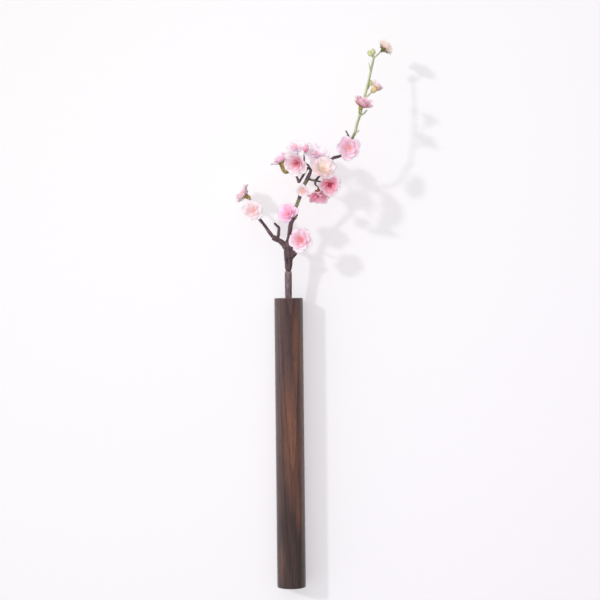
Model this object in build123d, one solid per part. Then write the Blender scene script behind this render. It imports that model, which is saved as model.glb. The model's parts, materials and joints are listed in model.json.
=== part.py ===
from build123d import *
from math import atan, cos, degrees, sin
import os

# Hanging wall vase: a turned hardwood tube with a glass water tube in its bore and a keyhole hanger in its
# back, holding one artificial blossom spray that plugs together from moulded twigs and fabric blossoms.
# Millimetres. +Z is up, the wall is the plane Y = 0 and the vase hangs in front of it, towards -Y.
# The origin is the centre of the hanger's entry hole, on the wall.

# Vase tube
vase_diameter = 29.6
vase_length = 300.0
vase_edge_round = 0.8
back_flat_depth = 1.5
bore_diameter = 20.0
bore_floor_gap = 1.8

# Water tube
liner_clearance = 0.2
liner_wall = 1.2
liner_floor = 1.6
liner_length = 74.0
lip_width = 1.6
lip_thickness = 1.4
lip_sink = 0.2
lip_round = 0.4

# Keyhole hanger
hanger_below_bore = 34.0
plate_width = 11.0
plate_thickness = 1.2
plate_clearance = 0.15
plate_end = 4.5
entry_diameter = 8.4
slot_width = 4.4
slot_rise = 9.0
head_pocket_width = 9.0
head_pocket_depth = 6.0
lower_screw_drop = 11.0
upper_screw_rise = 18.0
screw_length = 12.0
screw_diameter = 2.8
screw_head_diameter = 5.0
screw_clearance = 0.05
driver_slot_width = 0.7
driver_slot_depth = 0.6

# Lower stem, which leans in the water tube from its floor at the back to its lip at the front
stem_diameter = 6.8
stem_standing = 28.0
stem_side_gap = 0.25
stem_floor_gap = 1.0

# Plug joints of the spray
turn_clearance = 0.06
turn_face_gap = 0.1
stem_plug_diameter = 3.6
stem_plug_length = 9.0
plug_end_gap = 1.0
twig_plug_diameter = 1.6
twig_plug_length = 4.0
collar_length = 2.0
peg_diameter = 1.0
peg_length = 3.2
peg_clearance = 0.04

# Blossoms
petal_thickness = 0.4
petal_flat_radius = 1.9
petal_hole_clearance = 0.05
petal_trim = 0.3
petal_lobe_share = 0.43
petal_core_share = 0.62
petal_count = 5
calyx_height = 4.2
calyx_top_radius = 1.9
calyx_wall = 0.5
calyx_pin_radius = 0.5
calyx_socket_depth = 2.0
calyx_socket_clearance = 0.05
sepal_length = 5.4
sepal_half_width = 1.5
sepal_thickness = 0.5
sepal_rise = 0.4
stalk_diameter = 1.5
stalk_run = 2.5
stalk_collar = 0.8
stamen_button_radius = 1.2
stamen_button_height = 1.2
stamen_ring_radius = 0.8
stamen_count = 7
stamen_length = 3.6
stamen_radius = 0.16
stamen_tip_radius = 0.38
stamen_splay = 24.0
bud_foot_share = 0.5
bud_widest_share = 0.4

# Each petal layer: its share of the blossom's radius, its rise as a share of its reach, its turn in degrees
petal_layers = [(1.0, 0.45, 0.0), (0.76, 0.72, 36.0), (0.5, 0.9, 12.0)]

# Places in the spray are (right, out from the wall, up) from the foot of the trunk, in the stem's leaning
# frame. A station of a twig adds the diameter there.
trunk_run = [(0, 0, 0, 5.4), (0, 0, 2.5, 6.4), (0, 0, 9, 6.6), (0, 0, 19, 8.6), (0, 0, 26, 9.2),
             (1, 0, 33, 5.8), (2, 0.5, 37, 4.8), (4.5, 2, 48, 4.8), (6, 2, 54, 4.4), (6.5, 2, 57, 4.2)]
left_stub_run = [(0, 0, 21, 6), (-6, -2, 28.6, 6.4), (-11.5, -3, 30.5, 5.8), (-15, -4.5, 35, 5.8)]
right_stub_run = [(1, 0, 12, 6), (4, 0.8, 15.5, 6.6), (7.6, 1.5, 19.6, 5.8)]
bare_spur_run = [(-11.5, -3, 31.5, 3), (-9.5, -3, 38, 2.8), (-9, -3, 44, 2.2), (-14, -3, 50, 1.5)]
left_twig_run = [(-18.5, -6, 39.5, 3.8), (-24.5, -8, 48, 3.2), (-30.5, -12, 55, 2.8), (-38, -15.5, 67, 2.2)]
crown_branch_run = [(7.5, 4.5, 66.5, 3.6), (11.5, 6.5, 75, 3.4), (16, 8.5, 87, 3.2), (20.5, 9.5, 95.5, 4.2),
                    (24, 9, 103, 3), (24.5, 8, 107.5, 3.6)]
crown_left_run = [(23.5, 9, 102, 2), (19, 10.5, 103, 1.9), (11.5, 11, 93.5, 2.4), (9.5, 9, 99, 2)]
crown_side_run = [(21, 9.5, 96, 2.2), (26.5, 12, 94.5, 2.2), (29, 13, 94.5, 2.8), (33.5, 11.5, 99, 1.9)]
side_stub_run = [(29, 13, 95, 2.4), (28.5, 13.5, 90.5, 2.2)]
right_twig_run = [(24.5, 8, 107, 2.6), (32, 4.5, 110, 2.6), (40, 5.5, 112.5, 2.6), (48, 8, 117, 3),
                  (54, 9.5, 118.5, 3), (59, 10, 122.5, 2.8), (64.5, 10, 132.5, 2.8), (68, 9.5, 139, 2.8)]
right_twiglet_run = [(64.5, 10, 132.5, 2), (63, 11, 139, 1.8), (60, 11.5, 144.5, 1.3)]
green_shoot_run = [(69.8, 9.1, 142.5, 2.8), (71.5, 8, 150.5, 2.6), (75, 5.5, 160.5, 2.6),
                   (78, 1.5, 171.5, 2.4), (81.5, -2, 184, 2.4), (84.5, -5.5, 195, 2.2),
                   (87, -10, 205, 2.2), (90, -15.5, 217.5, 2.2)]
shoot_leaflet_run = [(69.2, 9.1, 141.6, 1.6), (71.8, 10, 143, 1.3), (74, 10.5, 144.6, 1)]
shoot_spur_run = [(74.4, 5.9, 158.8, 1.8), (79, 7, 161.5, 1.6), (81.9, 8, 165, 1.3)]
shoot_thorn_run = [(86.6, -9, 203.5, 1.8), (85.6, -10, 209, 1.1), (84.3, -10, 213, 0.7)]

# Each blossom: its number, its seat on the calyx, the way it faces, its diameter, its spin in degrees,
# the foot of its stalk and the twig that carries it
blossoms = [
    (1, (-44, -16, 77.5), (-0.78, -0.42, 0.46), 22, 10, (-38, -15.5, 67), "left_twig"),
    (2, (-36, -5.5, 63), (-0.1, 0.97, 0.2), 22, 30, (-33.5, -13, 59), "left_twig"),
    (3, (1.5, 8, 59.5), (-0.45, 0.75, 0.45), 22, 0, (5.5, 2, 52.5), "trunk"),
    (4, (13.5, 13.5, 33.3), (-0.2, 0.95, 0.1), 26, 50, (2.5, 0.8, 37), "trunk"),
    (5, (-5.5, 0, 111), (-0.65, -0.25, 0.72), 22, 20, (9.5, 9, 99), "crown_left_twig"),
    (6, (10.4, 14, 112), (-0.4, 0.9, -0.1), 23.5, 45, (9.5, 9, 99), "crown_left_twig"),
    (7, (9.8, -3.5, 125), (-0.1, 0.6, 0.78), 21, 40, (24.5, 8, 107.5), "crown_branch"),
    (9, (30.5, 4, 119.5), (0.25, 0.55, 0.8), 23, 60, (24.5, 8, 107.5), "crown_branch"),
    (10, (36.5, 21, 106), (0.2, 0.75, 0.6), 26, 15, (33.5, 11.5, 99), "crown_side_twig"),
    (11, (16, 18, 85), (-0.25, 0.9, -0.3), 15, 0, (15, 8, 84.5), "crown_branch"),
    (12, (31.5, 24, 82.5), (-0.05, 0.4, -0.9), 21, 25, (28.5, 13.5, 90.5), "crown_side_twig"),
    (13, (43.4, 16.5, 90), (0, 0.96, -0.12), 22.5, 45, (29, 13, 94.5), "crown_side_twig"),
    (14, (62.5, 18.5, 127), (0.08, 0.97, 0.05), 24, 35, (60, 10, 124.5), "right_twig"),
    (15, (76, 12, 169), (0.4, 0.15, 0.9), 18, 0, (75, 5.5, 160.5), "green_shoot"),
    (16, (90.2, 3, 186.5), (0.58, -0.35, 0.72), 14, 30, (79.5, 0, 177), "green_shoot"),
    (17, (100.2, -17.5, 226), (0.74, -0.3, 0.6), 20, 0, (90, -15.5, 217.5), "green_shoot"),
]

# Buds: the seat of the bud, the way it points, its diameter, its length and the foot of its stalk
pink_bud = ((18.5, 9, 124), (0.3, 0.15, 0.93), 5.6, 7.5, (24.5, 8, 107.5))
green_buds = [
    ((87, -15.5, 220.5), (-0.35, 0.1, 0.94), 4.4, 6.0, (90, -15.5, 217.5)),
    ((85, -15, 217.5), (-0.8, 0.1, 0.6), 4.0, 6.0, (90, -15.5, 217.5)),
    ((85.5, -8, 189), (0.5, -0.1, 0.86), 4.6, 6.0, (82, -2.6, 185.5)),
]

# Worked out from the values above
vase_radius = vase_diameter / 2
axis_y = back_flat_depth - vase_radius
bore_depth = lip_sink + liner_length + bore_floor_gap
top_z = bore_depth + hanger_below_bore
foot_z = top_z - vase_length
lip_top_z = top_z - lip_sink
liner_radius = bore_diameter / 2 - liner_clearance
liner_inner_radius = liner_radius - liner_wall
lip_radius = liner_radius + lip_width
stem_radius = stem_diameter / 2
stem_reach = liner_inner_radius - stem_radius - stem_side_gap
stem_depth = liner_length - liner_floor - stem_floor_gap
stem_lean = atan(2 * stem_reach / stem_depth)
stem_below_lip = stem_depth / cos(stem_lean)
stem_frame = Plane(
    origin=(0, axis_y - stem_reach, lip_top_z),
    x_dir=(1, 0, 0),
    z_dir=(0, -sin(stem_lean), cos(stem_lean)),
)
spray_frame = stem_frame.offset(stem_standing)
hanger_plane = Plane(origin=(0, 0, 0), x_dir=(1, 0, 0), z_dir=(0, -1, 0))
screw_heights = [-lower_screw_drop, upper_screw_rise]
upright = (Align.CENTER, Align.CENTER, Align.MIN)
hanging = (Align.CENTER, Align.CENTER, Align.MAX)


def spray_point(place):
    """A place of the spray, (right, out, up), as a vector of the stem's frame."""
    right, out, up = place[:3]
    return Vector(right, -out, up)


def twig(run):
    """A tapering twig through the stations of a run, each with its diameter."""
    points = [spray_point(station) for station in run]
    sections = []
    for index, station in enumerate(run):
        before = points[max(index - 1, 0)]
        after = points[min(index + 1, len(run) - 1)]
        section = Plane(origin=points[index], x_dir=(0, 1, 0), z_dir=after - before)
        sections.append(section * Circle(station[3] / 2))
    return loft(sections, ruled=True)


def end_plane(run):
    """The plane of a run's last station, square to its last stretch."""
    last = spray_point(run[-1])
    return Plane(origin=last, x_dir=(0, 1, 0), z_dir=last - spray_point(run[-2]))


def facing_place(seat, facing, spin=0.0):
    """The place of a blossom or bud on its seat, facing its own way and spun about it."""
    plane = Plane(origin=spray_point(seat), z_dir=spray_point(facing))
    return spray_frame.location * plane.location * Rot(0, 0, spin)


def stalk(seat, facing, foot, mouth):
    """The stalk from its foot on a twig into the socket whose mouth lies that far behind a seat."""
    way = spray_point(facing).normalized()
    depths = [mouth + stalk_run, mouth + stalk_collar, mouth + turn_face_gap - calyx_socket_depth]
    points = [spray_point(foot)] + [spray_point(seat) - way * depth for depth in depths]
    return twig([(point.X, -point.Y, point.Z, stalk_diameter) for point in points])


def push_on(child, parent, foot, toward):
    """Seat a twig on the twig that carries it, with a peg of its own in a bore of the other."""
    start = spray_point(foot)
    plane = Plane(origin=start, z_dir=spray_point(toward) - start)
    peg = plane * Cylinder(peg_diameter / 2, peg_length, align=upright)
    bore = plane * Cylinder(peg_diameter / 2 + peg_clearance, peg_length, align=upright)
    return child - parent + peg, parent - bore


def dish(radius, rise, thickness, hole_radius, seat):
    """A thin round dish: flat about its hole and curving up to its rim."""
    low = seat
    high = seat + thickness
    flat = petal_flat_radius
    outline = [
        Line((hole_radius, low), (flat, low)),
        TangentArc((flat, low), (radius, low + rise), tangent=(1, 0)),
        Line((radius, low + rise), (radius, high + rise)),
        TangentArc((flat, high), (radius, high + rise), tangent=(1, 0)),
        Line((flat, high), (hole_radius, high)),
        Line((hole_radius, high), (hole_radius, low)),
    ]
    return revolve(Plane.XZ * make_face(outline), Axis.Z)


def petal_layer(blossom_radius, layer, level):
    """One die-cut layer of round petals, pressed into a dish."""
    share, rise_share, turn = layer
    radius = blossom_radius * share
    blank_radius = radius + petal_trim
    rise = rise_share * (blank_radius - petal_flat_radius)
    lobe_radius = radius * petal_lobe_share
    outline = Circle(radius * petal_core_share)
    for place in PolarLocations(radius - lobe_radius, petal_count, start_angle=turn):
        outline += place * Circle(lobe_radius)
    cutter = extrude(outline, amount=rise + (len(petal_layers) + 1) * petal_thickness)
    hole_radius = calyx_pin_radius + petal_hole_clearance
    return dish(blank_radius, rise, petal_thickness, hole_radius, level * petal_thickness) & cutter


def make_calyx():
    """A moulded cup with five sepals, a socket below for the stalk and a pin above for the petals."""
    socket_radius = stalk_diameter / 2 + calyx_socket_clearance
    foot = Pos(0, 0, -calyx_height)
    cup = foot * Cone(socket_radius + calyx_wall, calyx_top_radius, calyx_height, align=upright)
    star = Circle(calyx_top_radius)
    for place in PolarLocations(0, petal_count):
        sepal = Polygon((0, -sepal_half_width), (sepal_length, 0), (0, sepal_half_width), align=None)
        star += place * sepal
    cutter = Pos(0, 0, -sepal_thickness) * extrude(star, amount=sepal_rise + 2 * sepal_thickness)
    sepals = dish(sepal_length, sepal_rise, sepal_thickness, 0, -sepal_thickness) & cutter
    pin_length = len(petal_layers) * petal_thickness + stamen_button_height / 2
    pin = Cylinder(calyx_pin_radius, pin_length, align=upright)
    socket = foot * Cylinder(socket_radius, calyx_socket_depth, align=upright)
    return cup + sepals + pin - socket


def make_stamens():
    """A button that presses on the calyx's pin, with a tuft of stamens."""
    level = len(petal_layers) * petal_thickness
    button = Pos(0, 0, level) * Cylinder(stamen_button_radius, stamen_button_height, align=upright)
    pin_top = level + stamen_button_height / 2
    hole_radius = calyx_pin_radius + petal_hole_clearance
    tuft = button - Cylinder(hole_radius, pin_top + turn_face_gap, align=upright)
    root = Pos(0, 0, pin_top)
    for turn in PolarLocations(0, stamen_count):
        lean = root * turn * Pos(stamen_ring_radius, 0, 0) * Rot(0, stamen_splay, 0)
        tuft += lean * Cylinder(stamen_radius, stamen_length, align=upright)
        tuft += lean * Pos(0, 0, stamen_length) * Sphere(stamen_tip_radius)
    return tuft


def make_bud(diameter, length):
    """A closed bud, an egg with a pointed tip, with a socket for its stalk."""
    radius = diameter / 2
    foot_radius = radius * bud_foot_share
    egg = make_face([
        Line((0, 0), (foot_radius, 0)),
        Spline((foot_radius, 0), (radius, length * bud_widest_share), (0, length)),
        Line((0, length), (0, 0)),
    ])
    socket = Cylinder(stalk_diameter / 2 + calyx_socket_clearance, calyx_socket_depth, align=upright)
    return revolve(Plane.XZ * egg, Axis.Z) - socket


def make_vase():
    """The wooden tube with its bore, its planed back and the recess for the hanger."""
    tube = Cylinder(vase_radius, vase_length, align=upright)
    tube = fillet(tube.edges().filter_by(GeomType.CIRCLE), vase_edge_round)
    body = Pos(0, axis_y, foot_z) * tube
    back = Box(vase_diameter, vase_diameter, vase_length, align=(Align.CENTER, Align.MIN, Align.MIN))
    body -= Pos(0, 0, foot_z) * back
    mouth = Pos(0, axis_y, top_z)
    body -= mouth * Cylinder(bore_diameter / 2, bore_depth, align=hanging)
    counterbore_depth = lip_sink + lip_thickness
    body -= mouth * Cylinder(lip_radius + liner_clearance, counterbore_depth, align=hanging)
    recess = extrude(plate_outline(plate_clearance), amount=plate_thickness)
    head_room = keyhole_outline(head_pocket_width, head_pocket_width)
    pocket = extrude(head_room, amount=head_pocket_depth + plate_thickness)
    body -= [recess, pocket]
    for height in screw_heights:
        hole_depth = screw_length + plate_thickness
        body -= screw_axis(height) * Cylinder(screw_diameter / 2 + screw_clearance, hole_depth, align=upright)
    return body


def screw_axis(height):
    """Where a screw of the hanger enters, pointing into the vase."""
    return hanger_plane.location * Pos(0, height, 0)


def keyhole_outline(entry_width, neck_width):
    """A round entry with a slot that rises from it, in the hanger's plane."""
    slot = Pos(0, slot_rise / 2) * Rectangle(neck_width, slot_rise)
    return hanger_plane * (Circle(entry_width / 2) + slot + Pos(0, slot_rise) * Circle(neck_width / 2))


def plate_outline(margin):
    """The hanger plate's round-ended outline, in the hanger's plane."""
    low = -lower_screw_drop - plate_end
    high = upper_screw_rise + plate_end
    blank = SlotOverall(high - low + 2 * margin, plate_width + 2 * margin, rotation=90)
    return hanger_plane * (Pos(0, (high + low) / 2) * blank)


def make_keyhole_plate():
    """The steel hanger: a round-ended plate with a keyhole and two countersunk holes."""
    plate = extrude(plate_outline(0), amount=plate_thickness)
    plate -= extrude(keyhole_outline(entry_diameter, slot_width), amount=plate_thickness)
    for height in screw_heights:
        hole_radius = screw_diameter / 2 + screw_clearance
        head_radius = screw_head_diameter / 2 + screw_clearance
        plate -= screw_axis(height) * Cylinder(hole_radius, plate_thickness, align=upright)
        plate -= screw_axis(height) * Cone(head_radius, hole_radius, head_radius - hole_radius, align=upright)
    return plate


def make_hanger_screw(height):
    """One countersunk screw with a crossed driver slot."""
    head_height = (screw_head_diameter - screw_diameter) / 2
    point_height = screw_diameter
    screw = Cone(screw_head_diameter / 2, screw_diameter / 2, head_height, align=upright)
    shank_length = screw_length - head_height - point_height
    screw += Pos(0, 0, head_height) * Cylinder(screw_diameter / 2, shank_length, align=upright)
    screw += Pos(0, 0, head_height + shank_length) * Cone(screw_diameter / 2, 0, point_height, align=upright)
    for turn in (0, 90):
        screw -= Rot(0, 0, turn) * Box(screw_diameter, driver_slot_width, driver_slot_depth, align=upright)
    return screw_axis(height) * screw


def make_water_tube():
    """The glass liner, a straight tube with a floor and a lip that rests in the vase's counterbore."""
    tube = Cylinder(liner_radius, liner_length, align=hanging)
    tube += Cylinder(lip_radius, lip_thickness, align=hanging)
    tube -= Cylinder(liner_inner_radius, liner_length - liner_floor, align=hanging)
    lip_edges = tube.edges().filter_by(GeomType.CIRCLE).group_by(Axis.Z)[-1]
    tube = fillet(lip_edges, lip_round)
    return Pos(0, axis_y, lip_top_z) * tube


def make_lower_stem():
    """The bare stem, which leans in the water tube, with the socket that the trunk turns in."""
    stem_top = Pos(0, 0, stem_standing)
    socket_radius = stem_plug_diameter / 2 + turn_clearance
    stem = stem_top * Cylinder(stem_radius, stem_below_lip + stem_standing, align=hanging)
    stem -= stem_top * Cylinder(socket_radius, stem_plug_length + plug_end_gap, align=hanging)
    return stem_frame.location * stem


def socket_at(run):
    """The socket in the end of a twig for the twig that turns in it."""
    radius = twig_plug_diameter / 2 + turn_clearance
    return end_plane(run) * Cylinder(radius, twig_plug_length + turn_face_gap, align=hanging)


def plug_into(run):
    """The plug of a twig that turns in another twig's end, and the short neck that clears that end."""
    plug = end_plane(run) * Cylinder(twig_plug_diameter / 2, twig_plug_length, align=hanging)
    neck = end_plane(run) * Cylinder(twig_plug_diameter / 2, 2 * turn_face_gap, align=upright)
    return plug + neck


def turning_run(socket_run, run):
    """A run that starts square on another run's end, just clear of it."""
    collar = [end_plane(socket_run).offset(turn_face_gap + rise).origin for rise in (0, collar_length)]
    return [(point.X, -point.Y, point.Z, run[0][3]) for point in collar] + run


# Twigs, each with the stalks of the blossoms and buds that it carries
twigs = {}
trunk_foot_gap = Pos(0, 0, turn_face_gap)
trunk_plug = Cylinder(stem_plug_diameter / 2, stem_plug_length, align=hanging)
trunk_neck = Cylinder(stem_plug_diameter / 2, 2 * turn_face_gap, align=upright)
twigs["trunk"] = trunk_foot_gap * twig(trunk_run) + trunk_plug + trunk_neck
twigs["trunk"] += [twig(left_stub_run), twig(right_stub_run), twig(bare_spur_run)]
twigs["left_twig"] = twig(turning_run(left_stub_run, left_twig_run)) + plug_into(left_stub_run)
twigs["crown_branch"] = twig([trunk_run[-1]] + crown_branch_run)
twigs["crown_left_twig"] = twig(crown_left_run)
twigs["crown_side_twig"] = twig(crown_side_run) + twig(side_stub_run)
twigs["right_twig"] = twig(right_twig_run) + twig(right_twiglet_run)
twigs["green_shoot"] = twig(turning_run(right_twig_run, green_shoot_run)) + plug_into(right_twig_run)
twigs["green_shoot"] += [twig(shoot_leaflet_run), twig(shoot_spur_run), twig(shoot_thorn_run)]

for number, seat, facing, diameter, spin, foot, carrier in blossoms:
    twigs[carrier] += stalk(seat, facing, foot, calyx_height)
seat, facing, diameter, length, foot = pink_bud
twigs["crown_branch"] += stalk(seat, facing, foot, 0)
for seat, facing, diameter, length, foot in green_buds:
    twigs["green_shoot"] += stalk(seat, facing, foot, 0)

# Sockets for the twigs that turn, and pegs for those that stay
twigs["trunk"] -= socket_at(left_stub_run)
twigs["right_twig"] -= socket_at(right_twig_run)
pegged = [
    ("crown_branch", "trunk", trunk_run[-1], crown_branch_run[0]),
    ("crown_left_twig", "crown_branch", crown_left_run[0], crown_left_run[1]),
    ("crown_side_twig", "crown_branch", crown_side_run[0], crown_side_run[1]),
    ("right_twig", "crown_branch", right_twig_run[0], right_twig_run[1]),
]
for child, parent, foot, toward in pegged:
    twigs[child], twigs[parent] = push_on(twigs[child], twigs[parent], foot, toward)

# Every node of the part
nodes = {
    "vase_body": [make_vase()],
    "water_tube": [make_water_tube()],
    "keyhole_plate": [make_keyhole_plate()],
    "hanger_screws": [make_hanger_screw(height) for height in screw_heights],
    "lower_stem": [make_lower_stem()],
}
for name, solid in twigs.items():
    nodes[name] = [spray_frame.location * solid]

calyx = make_calyx()
stamens = make_stamens()
for number, seat, facing, diameter, spin, foot, carrier in blossoms:
    place = facing_place(seat, facing, spin)
    layers = [petal_layer(diameter / 2, layer, level) for level, layer in enumerate(petal_layers)]
    nodes[f"blossom_{number:02d}_petals"] = [place * layer for layer in layers]
    nodes[f"blossom_{number:02d}_calyx"] = [place * calyx]
    tuft_node = f"{carrier}_stamens" if carrier in ("left_twig", "green_shoot") else "crown_stamens"
    nodes.setdefault(tuft_node, []).append(place * stamens)

seat, facing, diameter, length, foot = pink_bud
nodes["pink_bud"] = [facing_place(seat, facing) * make_bud(diameter, length)]
nodes["green_buds"] = []
for seat, facing, diameter, length, foot in green_buds:
    nodes["green_buds"].append(facing_place(seat, facing) * make_bud(diameter, length))

os.makedirs("parts", exist_ok=True)
for name, solids in nodes.items():
    shape = solids[0] if len(solids) == 1 else Compound(children=solids)
    export_step(shape, os.path.join("parts", f"{name}.step"))

# The joint axes, each a point and a direction
turn_planes = {
    "spray": spray_frame.location,
    "left_twig": spray_frame.location * end_plane(left_stub_run).location,
    "green_shoot": spray_frame.location * end_plane(right_twig_run).location,
}
print(f"stem lean {degrees(stem_lean):.3f} degrees")
for name, place in turn_planes.items():
    print(name, "turns at", place.position, "about", Plane(place).z_dir)
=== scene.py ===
import json
from collections import namedtuple
from math import atan2, cos, exp, pi, radians, sin, sqrt, tau
from random import Random

import bmesh
import bpy
from bpy.props import FloatProperty, FloatVectorProperty, IntProperty, PointerProperty
from mathutils import Matrix, Vector, noise
from mathutils.kdtree import KDTree


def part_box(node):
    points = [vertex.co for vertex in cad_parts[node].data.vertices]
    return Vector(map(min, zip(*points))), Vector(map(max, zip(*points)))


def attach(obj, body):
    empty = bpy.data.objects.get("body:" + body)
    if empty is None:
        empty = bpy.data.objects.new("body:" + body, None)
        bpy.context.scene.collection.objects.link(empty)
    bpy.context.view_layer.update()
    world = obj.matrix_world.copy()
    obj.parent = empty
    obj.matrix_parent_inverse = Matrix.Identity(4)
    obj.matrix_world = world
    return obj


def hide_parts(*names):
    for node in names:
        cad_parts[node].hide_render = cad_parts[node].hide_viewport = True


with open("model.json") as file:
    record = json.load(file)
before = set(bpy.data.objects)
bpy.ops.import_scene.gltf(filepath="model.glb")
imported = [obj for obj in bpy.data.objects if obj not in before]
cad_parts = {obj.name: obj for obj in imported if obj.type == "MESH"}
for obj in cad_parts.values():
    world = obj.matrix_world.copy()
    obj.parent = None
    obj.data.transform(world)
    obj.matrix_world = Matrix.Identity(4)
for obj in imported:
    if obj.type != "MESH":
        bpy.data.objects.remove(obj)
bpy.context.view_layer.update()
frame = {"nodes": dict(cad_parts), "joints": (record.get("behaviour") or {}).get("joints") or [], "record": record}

bl_info = {
    "name": "Hanging wall vase",
    "version": (1, 0, 0),
    "blender": (4, 5, 0),
    "location": "3D View > Sidebar > Wall vase",
    "description": "Finishes and soft forms of a wooden wall vase that holds an artificial blossom spray",
    "category": "Object",
}

MM = 0.001
RECORD = frame["record"]
JOINTS = {joint["name"]: joint for joint in frame["joints"]}
BODY_OF = {node: body for body, members in RECORD["behaviour"]["bodies"].items() for node in members}

# The spray's own frame: its foot on the lower stem, and the ways right, out from the wall and up the stem
SPRAY_FOOT = Vector(JOINTS["spray_turn"]["pos_m"])
SPRAY_UP = Vector(JOINTS["spray_turn"]["axis"]).normalized()
SPRAY_RIGHT = Vector((1, 0, 0))
SPRAY_OUT = SPRAY_RIGHT.cross(SPRAY_UP)

# The vase's own box and the axis of its tube
VASE_LOW, VASE_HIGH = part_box("vase_body")
VASE_RADIUS = (VASE_HIGH.x - VASE_LOW.x) / 2
VASE_AXIS = Vector((0, VASE_LOW.y + VASE_RADIUS, 0))

# Reddish flames in the grain: across, height, half width and half length in metres, share at the middle; the long
# one at the tube's right edge is partly grain and partly a painted reflection that lightens that side
FLAMES_AND_PAINTED_REFLECTION = [(0.0078, 0.06, 0.005, 0.056, 0.95), (0.002, -0.036, 0.0105, 0.088, 0.9),
          (0.0135, -0.03, 0.0042, 0.17, 0.65), (0.0083, -0.11, 0.0035, 0.03, 0.7),
          (-0.009, -0.164, 0.0045, 0.028, 0.35)]

# Twigs of the spray: stations (right, out, up, diameter) in millimetres from the spray's foot
TRUNK = [(0, 0, 0.4, 5.2), (0.1, 0, 1.6, 6.2), (0.3, 0, 4, 7.2), (0.5, 0, 8, 8.2), (0.5, 0, 13, 8.8),
         (0.4, 0, 20, 9.4), (0.4, 0, 26, 9.6), (1.2, 0, 32, 6.4), (1.8, 0.5, 37, 4.8), (2.6, 1.2, 46, 4.6),
         (3.8, 1.6, 51, 4.4), (5.8, 2, 54.5, 4.4), (8.5, 2, 57, 4.2)]
LEFT_STUB = [(0, 0, 22, 6.4), (-3.8, -1.2, 27.8, 6.6), (-8.2, -2.4, 31.4, 5), (-12.5, -3.4, 33.4, 5.6),
             (-15, -4.5, 35, 5.8)]
LEFT_KNOB = [(0.6, -0.4, 25.4, 4.2), (-5.7, 0.6, 25.4, 3.4)]
RIGHT_STUB = [(1, 0, 13.5, 6.5), (4.2, 0.8, 16.6, 6.8), (7.6, 1.5, 20, 6)]
BARE_SPUR = [(-11.5, -3, 31.5, 3.4), (-9.5, -3, 38, 3.2), (-9, -3, 45, 2.8), (-14, -3, 50, 2)]
LEFT_TWIG = [(-15.4, -4.7, 35.5, 3.8), (-18.5, -6, 39.5, 3.8), (-24.5, -8, 48, 3.2), (-30.5, -12, 55, 2.8),
             (-38, -15.5, 67, 2.2)]
CROWN_BRANCH = [(8.5, 2, 57, 4.2), (8.6, 4, 66.5, 3.8), (12, 6, 75, 3.6), (16, 8.5, 87, 3.4),
                (20.5, 9.5, 95.5, 4.2), (24, 9, 103, 3), (24.5, 8, 107.5, 3.6)]
CROWN_LEFT = [(24, 9, 105, 2.2), (21.5, 10.5, 107.5, 2.2), (12.1, 11, 92.5, 2.7), (9.5, 9, 99, 2.2)]
CROWN_SIDE = [(21, 9.5, 96, 2.2), (26.5, 12, 94.5, 2.2), (29, 13, 94.5, 2.8), (33.5, 11.5, 99, 1.9)]
SIDE_STUB = [(29, 13, 95, 2.4), (28.5, 13.5, 90.5, 2.2)]
RIGHT_TWIG = [(24.5, 8, 107, 2.6), (32, 4.5, 110, 2.6), (40, 5.5, 112.5, 2.6), (48, 8, 117, 3),
              (54, 9.5, 118.5, 3), (59, 10, 122.5, 2.8), (64.5, 10, 132.5, 2.8), (68, 9.5, 139, 2.8)]
RIGHT_TWIGLET = [(64.5, 10, 132.5, 2), (63, 11, 139, 1.8), (60, 11.5, 144.5, 1.3)]
GREEN_SHOOT = [(68.1, 9.5, 139.2, 2.8), (69.8, 9.1, 142.5, 2.8), (71.5, 8, 150.5, 2.6), (75, 5.5, 160.5, 2.6),
               (78, 1.5, 171.5, 2.4), (81.5, -2, 184, 2.4), (84.5, -5.5, 195, 2.2), (87, -10, 205, 2.2),
               (90, -15.5, 217.5, 2.2)]
SHOOT_LEAFLET = [(69.2, 9.1, 141.6, 1.6), (71.8, 10, 143, 1.3), (74, 10.5, 144.6, 1)]
SHOOT_SPUR = [(74.4, 5.9, 158.8, 1.8), (79, 7, 161.5, 1.6), (81.9, 8, 165, 1.3)]
SHOOT_THORN = [(86.6, -9, 203.5, 1.8), (85.6, -10, 209, 1.1), (84.3, -10, 213, 0.7)]
TWIGS = {
    "trunk": [TRUNK, LEFT_STUB, LEFT_KNOB, RIGHT_STUB, BARE_SPUR],
    "left_twig": [LEFT_TWIG],
    "crown_branch": [CROWN_BRANCH],
    "crown_left_twig": [CROWN_LEFT],
    "crown_side_twig": [CROWN_SIDE, SIDE_STUB],
    "right_twig": [RIGHT_TWIG, RIGHT_TWIGLET],
    "green_shoot": [GREEN_SHOOT, SHOOT_LEAFLET, SHOOT_SPUR, SHOOT_THORN],
}

# Places on the branch where the bark is still young and green: right, out, up, radius, share
YOUNG_BARK = [(10.3, 5, 71, 6, 0.8), (18.5, 9, 92, 6, 0.4), (27, 12, 95, 3, 0.4), (8.4, 2, 57, 3, 0.8),
              (68, 9.5, 138.5, 5, 0.9)]

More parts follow.
